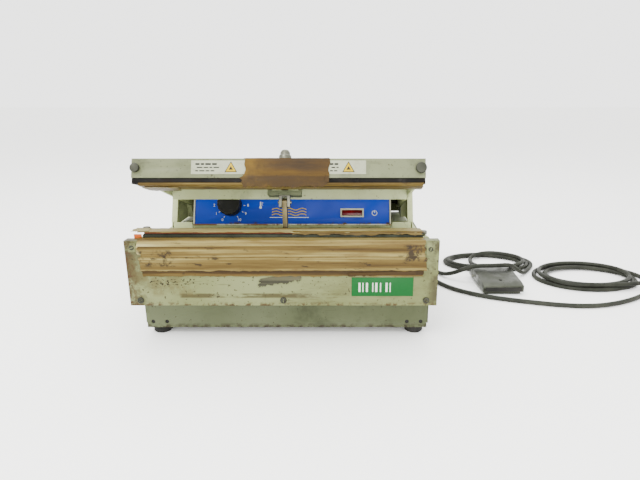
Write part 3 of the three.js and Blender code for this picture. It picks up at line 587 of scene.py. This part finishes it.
# ---- cords ---------------------------------------------------------------------------------------
def loops(centre, turns, start, total):
    """Points of a loose coil: each turn is (shift x, shift y, half width, half depth, height)."""
    points = []
    count = int(total / 360 * 16)
    for index in range(count + 1):
        angle = math.radians(start + total * index / count)
        turn = min((total * index / count) / 360, len(turns) - 1.001)
        first = int(turn)
        share = turn - first
        dx, dy, rx, ry, z = (a + (b - a) * share for a, b in zip(turns[first], turns[first + 1]))
        points.append((centre[0] + dx + rx * math.cos(angle), centre[1] + dy + ry * math.sin(angle), z))
    return points


def lay_cord(name, points, exit_point, length, far_end, with_pieces, *replaced):
    curve = bpy.data.curves.new(name, "CURVE")
    curve.dimensions = "3D"
    curve.bevel_depth = CORD / 2 * MM
    curve.bevel_resolution = 5
    curve.resolution_u = 6
    curve.use_fill_caps = True
    spline = curve.splines.new("NURBS")
    spline.points.add(len(points) - 1)
    for target, point in zip(spline.points, points):
        target.co = (*at(*point), 1)
    spline.order_u = 4
    spline.use_endpoint_u = True
    obj = bpy.data.objects.new(name, curve)
    bpy.context.scene.collection.objects.link(obj)
    curve.materials.append(FINISHES["cord_sheath"])
    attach(obj, "machine")
    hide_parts(*replaced)


def gland_exit(node):
    low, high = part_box(node)
    middle = (low + high) / 2
    return (middle.x / MM, (high.y - FACE_Y) / MM, middle.z / MM)


def make_cords(pieces):
    top_z = FLOOR_Z + CORD + 0.1
    exit_a = gland_exit("switch_cord_gland")
    lead = [
        exit_a,
        (116, 261, 34),
        (116.5, 271, 31.5),
        (119.5, 284, 24),
        (126, 296, 14.5),
        (138, 305, 7),
        (156, 309, FLOOR_Z),
        (176, 304.5, FLOOR_Z),
        (193, 291, FLOOR_Z),
        (204.5, 272, FLOOR_Z),
        (212, 250, FLOOR_Z),
        (219, 230, FLOOR_Z + 0.2),
        (230, 215.5, 8.5),
        (245, 208, 17),
        (259, 206, 24),
        (275, 206, 25.2),
        (291, 206, 24.8),
        (308, 209, 25.2),
        (323, 214, 23.6),
        (335, 221, 13),
        (344.5, 229, 6),
        (353, 238.5, FLOOR_Z),
    ]
    turns = [
        (-1, 0, 77, 50, FLOOR_Z),
        (4, 1, 66, 42, FLOOR_Z),
        (-1, 2, 58, 35, FLOOR_Z),
        (-3, -2, 64, 42, top_z),
    ]
    coil = loops((305, 288.5), turns, -30, 1170)
    tail = [
        (317, 325.5, top_z),
        (300, 322, top_z - 1.5),
        (287, 312, top_z - 3),
        (280, 296, 5.2),
        (278.5, 280, 5),
        (279, 266, 7.5),
        (279.8, 255, top_z),
        (280.8, 246, top_z),
        (281.6, 240, 8.2),
        (282.6, 234, 5.4),
        (283.5, 231, 4.7),
        (283.5, 227.3, 4.6),
    ]
    lay_cord(
        "switch_cord_run",
        lead + coil + tail,
        exit_a,
        1.57,
        "fitting",
        pieces["switch"],
        "switch_cord",
        "switch_cord_coil",
        "switch_cord_tail",
    )
    exit_b = gland_exit("mains_cord_gland")
    lead = [
        exit_b,
        (142, 261, 34),
        (143, 271, 31.5),
        (146.5, 280.5, 25),
        (153, 287.5, 16),
        (163, 290, 8.5),
        (174, 286, FLOOR_Z + 0.6),
        (183, 276, FLOOR_Z),
        (189, 262, FLOOR_Z),
        (193, 244, FLOOR_Z),
        (198, 220, FLOOR_Z),
        (208, 189, FLOOR_Z),
        (228, 160, FLOOR_Z),
        (259, 138, FLOOR_Z),
        (290, 125, FLOOR_Z),
        (322, 115, FLOOR_Z),
        (352, 106, FLOOR_Z),
        (385, 102, FLOOR_Z),
        (415, 106, FLOOR_Z),
        (445, 118, FLOOR_Z),
        (468, 131, FLOOR_Z),
        (486, 144, FLOOR_Z),
        (501, 158, FLOOR_Z),
    ]
    turns = [
        (0, 0, 86, 66, FLOOR_Z),
        (-6, 4, 72, 53, FLOOR_Z),
        (6, -3, 62, 45, FLOOR_Z),
        (-7, 4, 67, 49, top_z),
        (4, -4, 81, 61, top_z),
    ]
    coil = loops((441, 213), turns, -22, 1340)
    tail = [
        (470, 166, top_z),
        (486, 170, top_z),
        (500, 173.5, top_z),
        (512, 175.5, top_z + 0.2),
        (523, 176.8, 10.8),
        (533, 177.8, 12.6),
        (541, 178, 13),
    ]
    lay_cord(
        "mains_cord_run",
        lead + coil + tail,
        exit_b,
        2.07,
        "plug",
        pieces["mains"],
        "mains_cord",
        "mains_cord_coil",
        "mains_cord_tail",
    )


# ---- pieces that keep their CAD shape, with eased edges ------------------------------------------
EASED = {
    "chassis_base": ("grey_paint", 0.4),
    "side_cover_left": ("grey_paint", 0.4),
    "side_cover_right": ("grey_paint", 0.4),
    "deck_plate": ("cream_paint", 0.4),
    "front_cover": ("cover_paint", 0.5),
    "lower_jaw_bar": ("dark_bar", 0.5),
    "silicone_pad": ("silicone", 0.3),
    "lower_thumb_screw_left": ("steel", 0.2),
    "lower_thumb_screw_right": ("steel", 0.2),
    "jaw_bar": ("jaw_paint", 0.6),
    "upper_thumb_screw_left": ("dark_steel", 0.2),
    "upper_thumb_screw_right": ("dark_steel", 0.2),
    "element_strip": ("black_strip", 0.4),
    "hood_plate": ("cream_paint", 0.4),
    "arm_left": ("cream_paint", 0.4),
    "arm_right": ("cream_paint", 0.4),
    "pull_bracket": ("grey_paint", 0.4),
    "pull_clevis": ("steel", 0.3),
    "clevis_pin": ("steel", 0.2),
    "acorn_nut": ("steel", 0.3),
    "link_strap": ("strap_metal", 0.4),
    "pull_lever": ("steel", 0.4),
    "lever_bracket": ("steel", 0.4),
    "solenoid_body": ("core_steel", 0.5),
    "solenoid_plunger": ("steel", 0.3),
    "transformer": ("core_steel", 0.6),
    "terminal_block": ("black_plastic", 0.4),
    "console_housing": ("cream_paint", 0.4),
    "control_panel": ("blue_panel", 0.3),
    "panel_frame": ("trim", 0.3),
    "lamp_bezel": ("trim", 0.4),
    "lamp_lens": ("red_lens", 0.3),
    "dial_potentiometer": ("steel", 0.3),
    "upright_left": ("cream_paint", 0.4),
    "upright_right": ("cream_paint", 0.4),
    # dark steel on the shaft and grey paint on the rear cover also serve as painted shade, darkening what shows
    # through the right side gap
    "pivot_shaft": ("dark_steel", 0.3),
    "rear_cover": ("grey_paint", 0.4),
    "foot_front_left": ("black_rubber", 0.6),
    "foot_front_right": ("black_rubber", 0.6),
    "foot_rear_left": ("black_rubber", 0.6),
    "foot_rear_right": ("black_rubber", 0.6),
    "switch_cord_gland": ("black_plastic", 0.4),
    "mains_cord_gland": ("black_plastic", 0.4),
    "switch_base": ("pedal_metal", 0.5),
    "treadle": ("pedal_metal", 0.8),
    "treadle_pin": ("steel", 0.2),
    "mains_plug": ("black_plastic", 0.5),
}


def make_eased_pieces():
    made = {}
    for node, (finish, width) in EASED.items():
        made[node] = eased(node, finish, width)
    for node in ("return_spring_left", "return_spring_right"):
        NODES[node].data.materials.clear()
        NODES[node].data.materials.append(FINISHES["spring_steel"])
    return made


# ---- temperature knob and the panel's printing ---------------------------------------------------
def cylinder(sides, radius, depth, location=(0, 0, 0)):
    """A round bar along Z, sizes in millimetres."""
    place = [c * MM for c in location]
    bpy.ops.mesh.primitive_cylinder_add(vertices=sides, radius=radius * MM, depth=depth * MM, location=place)
    return bpy.context.object


def stand_on_panel(obj, x, up, out):
    """Turns a piece made along Z to stand out from the control panel."""
    obj.matrix_world = Matrix.Translation(on_panel(x, up, out)) @ PANEL_TURN.to_3x3().to_4x4()


def make_knob():
    """A fluted knob with a dished face and a white pointer dot."""
    obj = cylinder(72, KNOB_RADIUS, 15, (0, 0, 9.5))
    bpy.ops.object.transform_apply(location=True, rotation=True, scale=True)
    bpy.ops.object.mode_set(mode="EDIT")
    mesh = bmesh.from_edit_mesh(obj.data)
    for face in mesh.faces:
        face.select = face.normal.z > 0.9
    bmesh.update_edit_mesh(obj.data)
    bpy.ops.mesh.inset(thickness=1.4 * MM, depth=0.7 * MM)
    bpy.ops.mesh.inset(thickness=1.0 * MM, depth=-0.9 * MM)
    bpy.ops.object.mode_set(mode="OBJECT")
    for vertex in obj.data.vertices:
        radius = math.hypot(vertex.co.x, vertex.co.y)
        if radius > (KNOB_RADIUS - 0.2) * MM:
            angle = math.atan2(vertex.co.y, vertex.co.x)
            groove = 0.5 + 0.5 * math.cos(angle * 18)
            shrink = 1 - (0.075 if vertex.co.z > 5 * MM else 0.03) * groove ** 2
            vertex.co.x *= shrink
            vertex.co.y *= shrink
    bevelled(obj, 0.35, 2, 40)
    stand_on_panel(obj, KNOB_X, KNOB_UP, 0)
    settle(obj, "fluted_knob", "knob", "black_plastic", "black_plastic", "temperature_knob")
    angle = math.radians(135)
    reach = KNOB_RADIUS - 4.3
    dot = cylinder(28, 1.45, 0.5)
    bevelled(dot, 0.12, 2)
    stand_on_panel(dot, KNOB_X + reach * math.cos(angle), KNOB_UP + reach * math.sin(angle), 16.9)
    settle(dot, "knob_pointer_dot", "knob", "white_print", "trim")


def printed(tiles, name, finish, x, up):
    """Joins flat tiles into one mark and lays it on the control panel."""
    mark = join_all(tiles)
    stand_on_panel(mark, x, up, 0.06)
    settle(mark, name, "machine", finish, "trim")


def join_all(objects):
    """Makes one object of several."""
    bpy.ops.object.select_all(action="DESELECT")
    for obj in objects:
        obj.select_set(True)
    bpy.context.view_layer.objects.active = objects[0]
    if len(objects) > 1:
        bpy.ops.object.join()
    return bpy.context.object


def flat_tile(width, height, x=0.0, y=0.0, turn=0.0, thickness=0.12, radius=0.0):
    """A thin rounded tile in the XY plane, sizes in millimetres."""
    bpy.ops.mesh.primitive_cube_add(size=1)
    obj = bpy.context.object
    obj.scale = (width * MM, height * MM, thickness * MM)
    bpy.ops.object.transform_apply(location=False, rotation=False, scale=True)
    if radius:
        bpy.ops.object.mode_set(mode="EDIT")
        mesh = bmesh.from_edit_mesh(obj.data)
        for edge in mesh.edges:
            edge.select = abs((edge.verts[0].co - edge.verts[1].co).z) > thickness * MM * 0.5
        bmesh.update_edit_mesh(obj.data)
        bpy.ops.mesh.bevel(offset=radius * MM, segments=5, affect="EDGES")
        bpy.ops.object.mode_set(mode="OBJECT")
    obj.rotation_euler = (0, 0, turn)
    obj.location = (x * MM, y * MM, 0)
    bpy.ops.object.transform_apply(location=True, rotation=True, scale=True)
    return obj


def make_dial_scale():
    """Ticks every 30 degrees and the numbers 0 to 10, clockwise from the lower left."""
    marks = []
    for number in range(11):
        angle = math.radians(240 - 30 * number)
        across, up = math.cos(angle), math.sin(angle)
        marks.append(flat_tile(2.2, 0.7, 17.2 * across, 17.2 * up, angle))
        bpy.ops.object.text_add()
        text = bpy.context.object
        text.data.body = str(number)
        text.data.size = 5.0 * MM
        text.data.align_x = "CENTER"
        text.data.align_y = "CENTER"
        text.data.extrude = 0.06 * MM
        text.location = (21.8 * across * MM, 21.8 * up * MM, 0)
        only(text)
        bpy.ops.object.convert(target="MESH")
        text = bpy.context.object
        bpy.ops.object.transform_apply(location=True, rotation=True, scale=True)
        marks.append(text)
    printed(marks, "dial_scale", "white_print", KNOB_X, KNOB_UP)


def make_panel_signs():
    """A thermometer beside the dial, an on sign beside the lamp, and three heat waves between."""
    stem = flat_tile(1.5, 6.5, 0, 1.4, radius=0.7)
    bulb = cylinder(24, 1.7, 0.12, (0, -2.6, 0))
    ticks = [flat_tile(1.6, 0.5, 2.2, 0.4 + 1.6 * step) for step in range(3)]
    printed([stem, bulb, *ticks], "thermometer_sign", "white_print", -41, KNOB_UP)
    dashes = [flat_tile(0.9, 3.4, 0, 2.0, radius=0.3)]
    for index in range(14):
        angle = math.radians(125 + index * 290 / 13)
        dashes.append(flat_tile(1.5, 0.8, 3.1 * math.cos(angle), 3.1 * math.sin(angle), angle + math.pi / 2))
    printed(dashes, "power_sign", "white_print", 106, LAMP_UP)
    ribbons = []
    height, phase, pitch = 1.1, 0.75, 2
    for row in range(3):
        for index in range(22):
            x = -21 + index * pitch
            y = height * math.sin(index * phase) - row * 3.6 + 3.6
            slope = math.atan2(height * phase * math.cos(index * phase), pitch)
            ribbons.append(flat_tile(2.5, 1.2, x, y, slope))
    printed(ribbons, "heat_wave_mark", "yellow_print", -4, 19)
    printed([flat_tile(50, 0.8, radius=0.3)], "mark_underline", "white_print", -4, 11.8)


# ---- tapes, patch and labels ---------------------------------------------------------------------
def laid_tape(name, body, finish, *strip, replaced=()):
    piece = tape_strip(*strip)
    recalc(piece)
    return settle(piece, name, body, finish, "tape", *replaced)


def make_front_tapes():
    """Overlapping runs of tape down the cover's face, the first one wrapped over its top."""
    over_top = [(10.2, COVER_TOP + 0.7), (0.2, COVER_TOP + 0.6), (-0.5, COVER_TOP - 0.6), (-0.5, 106)]
    laid_tape("front_tape_wrap", "machine", "tape_cream", -153.5, 152, over_top, 0.3, 1.4, 0.3, 150, 1,
              replaced=["front_tape"])
    runs = [
        ("front_tape_second", -151.5, 152.5, 114.5, 97, 0.85, "tape"),
        ("front_tape_third", -152.5, 154.0, 103, 88, 1.15, "tape_scorched"),
        ("front_tape_fourth", -150.0, 151.0, 93, 81.5, 0.75, "tape"),
    ]
    for seed, (name, x0, x1, high, low, proud, finish) in enumerate(runs, 2):
        laid_tape(name, "machine", finish, x0, x1, [(-proud, high), (-proud, low)], 0.3, 1.4, 0.3, 150, seed)

    def slanted(slope, middle):
        return lambda x, y, z: at(x, y, z + slope * (x - middle))

    laid_tape("front_tape_scrap", "machine", "tape_grey", -25, 20, [(-0.55, 82.5), (-0.55, 73.5)],
              0.3, 2.6, 0.5, 60, 5, slanted(0.18, -2))
    laid_tape("front_tape_dark_edge", "machine", "brown_tape", 70, 143, [(-1.3, 86.5), (-1.3, 83)],
              0.3, 1.2, 0.4, 60, 6, slanted(0.03, 106))


def make_jaw_tapes():
    """The cloth over both jaws, with the torn ends and folds that it has there."""
    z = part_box("lower_jaw_tape")[0].z / MM + 0.25
    laid_tape("lower_tape_sheet", "machine", "tape_cream", -156, 150, [(28, z), (12.2, z), (11.6, z - 0.4)],
              0.3, 1.2, 0.4, 150, 11, replaced=["lower_jaw_tape"])
    fold = [(12.8, z + 0.5), (11.5, z + 0.2), (11.2, z - 2.6)]
    laid_tape("lower_tape_fold", "machine", "tape", 12, 150, fold, 0.3, 1.8, 0.4, 70, 12)
    laid_tape("lower_tape_curl", "machine", "tape_cream", -163, -146, [(27, z + 0.5), (12, z + 0.4)],
              0.3, 2.4, 0.5, 24, 13)
    scrap = block((-160, 11.0, 119.6), (-151.6, 12.2, 125.2))
    bevelled(scrap, 0.4, 3)
    settle(scrap, "orange_pad_scrap", "machine", "orange_scrap", "silicone")
    front = JAW_FRONT + 0.4
    rear = JAW_FRONT + 24.6
    under = JAW_LOW - 5.2
    sag = [(front - 0.3, under), (front + 0.8, under - 2.4), (front + 9, under - 3.4), (rear, under - 2.6)]
    sheet = laid_tape("upper_tape_sheet", "upper_jaw", "tape", -151, 150, sag, 0.4, 1.0, 0.5, 150, 17, on_jaw,
                      replaced=["upper_jaw_tape"])
    tatters = laid_tape("upper_tape_tatters", "upper_jaw", "tape_cream", -146, -112,
                        [(front + 5, under - 3.6), (rear, under - 4)], 0.3, 2.6, 0.8, 40, 19, on_jaw)
    # each loose tape is given its own copy of its mesh
    for loose in (sheet, tatters):
        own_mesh(loose)


def make_patch():
    """Brown tape wrapped round the middle of the upper jaw, folded back on itself below."""
    front = JAW_FRONT - 0.7
    path = [(JAW_FRONT + 8, JAW_HIGH + 0.5), (front + 0.4, JAW_HIGH + 0.4)]
    path += [(front, JAW_HIGH - 0.6), (front, JAW_LOW - 5)]
    laid_tape("patch_wrap", "upper_jaw", "brown_tape", -39, 50, path, 0.4, 1.3, 0.5, 90, 23, on_jaw,
              replaced=["tape_patch"])
    low = front - 0.6
    fold = [(low, JAW_LOW + 3.2), (low - 0.2, JAW_LOW - 3), (low + 0.4, JAW_LOW - 9.6)]
    laid_tape("patch_fold", "upper_jaw", "brown_tape", -42, 46, fold, 0.4, 2.2, 0.5, 90, 29, on_jaw)


def make_cover_screws():
    """Slotted pan heads over the cover's screws, and the same over its two tape clamps."""
    spots = [("left", -155, 54, 3.6), ("middle", 0, 54, 3.6), ("right", 155, 54, 3.6)]
    spots += [("clamp_left", -158.7, 113.5, 2.6), ("clamp_right", 157.5, 111.8, 2.6)]
    for index, (place, x, z, radius) in enumerate(spots):
        head = cylinder(32, radius, 1.8)
        bevelled(head, 0.7, 3)
        bpy.ops.mesh.primitive_cube_add(size=1)
        slot = bpy.context.object
        slot.scale = (radius * 3 * MM, 0.8 * MM, 1.0 * MM)
        slot.location = (0, 0, 0.9 * MM)
        slot.rotation_euler = (0, 0, 0.5 + index)
        only(slot)
        bpy.ops.object.transform_apply(location=True, rotation=True, scale=True)
        groove = head.modifiers.new("slot", "BOOLEAN")
        groove.operation = "DIFFERENCE"
        groove.object = slot
        apply_modifiers(head)
        bpy.data.objects.remove(slot)
        head.matrix_world = Matrix.Translation(at(x, -1.35, z)) @ UPRIGHT_FACE
        settle(head, f"cover_screw_{place}", "machine", "dark_steel", "steel")


def make_small_parts():
    """The treadle's black front pad, painted shade standing in for the shaded recess of its front face, and its
    rivet; and black discs in the chassis's front holes, painted shade standing in for the dark inside of the
    holes.
    """
    low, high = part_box("treadle")
    middle = (low.x + high.x) / 2 / MM
    front = (low.y - FACE_Y) / MM
    # a black sheet over the treadle's front face, painted shade for the shaded recess there, leaving a bright rim
    # above
    shade_pad = block((middle - 25.5, front - 0.7, 5.2), (middle + 25.5, front + 0.4, 11.2))
    bevelled(shade_pad, 0.35, 2)
    settle(shade_pad, "treadle_front_shade_pad", "pedal", "black_rubber", "black_rubber")
    rivet = cylinder(24, 2.3, 1.2)
    bevelled(rivet, 0.3, 2)
    rivet.matrix_world = Matrix.Translation(at(middle, front + 17, 16.4))
    settle(rivet, "treadle_rivet", "pedal", "black_rubber", "black_rubber")
    # black discs in the chassis's front holes: painted shade for the dark inside of the holes
    for index, x in enumerate((-155, -139, 139, 155)):
        plug = cylinder(24, 2.9, 2.4)
        bevelled(plug, 0.5, 2)
        plug.matrix_world = Matrix.Translation(at(x, 28.2, 16.5)) @ UPRIGHT_FACE
        settle(plug, f"chassis_hole_shade_disc_{index + 1}", "machine", "black_rubber", "black_rubber")


def label(name, width, height, finish, centre, body, radius, turn):
    """A thin printed plate with rounded corners that faces the front."""
    tile = flat_tile(width, height, thickness=0.35, radius=radius)
    bevelled(tile, 0.08, 2)
    tile.matrix_world = Matrix.Translation(centre) @ turn @ UPRIGHT_FACE
    settle(tile, name, body, finish, "trim")


def triangle(name, size, centre, turn, finish):
    """A three-sided sign on the upper jaw."""
    obj = cylinder(3, size, 0.3)
    bevelled(obj, 0.08, 2)
    obj.matrix_world = Matrix.Translation(centre) @ turn @ UPRIGHT_FACE
    settle(obj, name, "upper_jaw", finish, "trim")


def make_asset_label():
    """The green label on the cover, with plain upright bars in place of its lettering."""
    middle = at(107.3, -0.25, 69.3)
    label("asset_label", 66.6, 21.3, "green_label", middle, "machine", 1.0, Matrix.Identity(4))
    bars = []
    x = -22.0
    widths = (2.2, 1.2, 2.2, 1.2, 2.4, 1.2, 2.2, 1.2)
    gaps = (2.0, 2.6, 4.6, 2.0, 2.8, 4.8, 2.2, 0)
    for width, gap in zip(widths, gaps):
        bars.append(flat_tile(width, 10.5, x + width / 2, -0.5, radius=0.3))
        x += width + gap
    code = join_all(bars)
    code.matrix_world = Matrix.Translation(at(103.5, -0.47, 69.3)) @ UPRIGHT_FACE
    settle(code, "asset_label_bars", "machine", "white_print", "trim")


# each label on the jaw: its ends, its sign's middle, where its rules start, and their lengths
WARNINGS = {
    "left": (-95.5, -37, -53.5, -91, ((4.5, 3.5, 6, 5), (6, 5, 3, 6), (3, 5.5, 4, 4))),
    "right": (46, 89, 70.5, 51, ((3.5, 4), (4, 2.5), (3, 3.5))),
}
# each sheet of a sign: its size, how far it stands out from the jaw, and its finish
SIGN = {
    "edge": (7.6, 0.50, "black_print"),
    "field": (6.2, 0.64, "yellow_print"),
    "mark": (2.6, 0.78, "black_print"),
}


def make_warning_labels():
    """Two pale labels on the upper jaw, each with an unmarked sign and plain rules as its text."""
    tilt = Matrix.Rotation(JAW_TILT, 4, "X")
    for side, (x0, x1, sign_x, start, lines) in WARNINGS.items():
        centre = on_jaw((x0 + x1) / 2, JAW_FRONT - 0.25, 6.0)
        label(f"warning_label_{side}", x1 - x0, 14.6, "white_label", centre, "upper_jaw", 0.6, tilt)
        for part, (size, proud, finish) in SIGN.items():
            place = on_jaw(sign_x, JAW_FRONT - proud, 4.6)
            triangle(f"warning_sign_{part}_{side}", size, place, tilt, finish)
        rules = []
        for row, lengths in enumerate(lines):
            x = start + (1.5 if row == 1 else 0)
            thickness = 1.9 if row == 0 else 1.2
            for length in lengths:
                rules.append(flat_tile(length, thickness, x + length / 2, 9.4 - row * 3.6, radius=0.3))
                x += length + 1.2
        text = join_all(rules)
        text.matrix_world = JAW_TURN @ Matrix.Translation((0, (JAW_FRONT - 0.48) * MM, 0)) @ UPRIGHT_FACE
        settle(text, f"label_rules_{side}", "upper_jaw", "black_print", "trim")


# ---- making it all -------------------------------------------------------------------------------
make_camera()
made = make_eased_pieces()
make_cords({
    "switch": [made["switch_base"], made["treadle"], made["treadle_pin"]],
    "mains": [made["mains_plug"]],
})
make_stage()
make_knob()
make_dial_scale()
make_panel_signs()
make_front_tapes()
make_jaw_tapes()
make_patch()
make_asset_label()
make_warning_labels()
make_cover_screws()
make_small_parts()
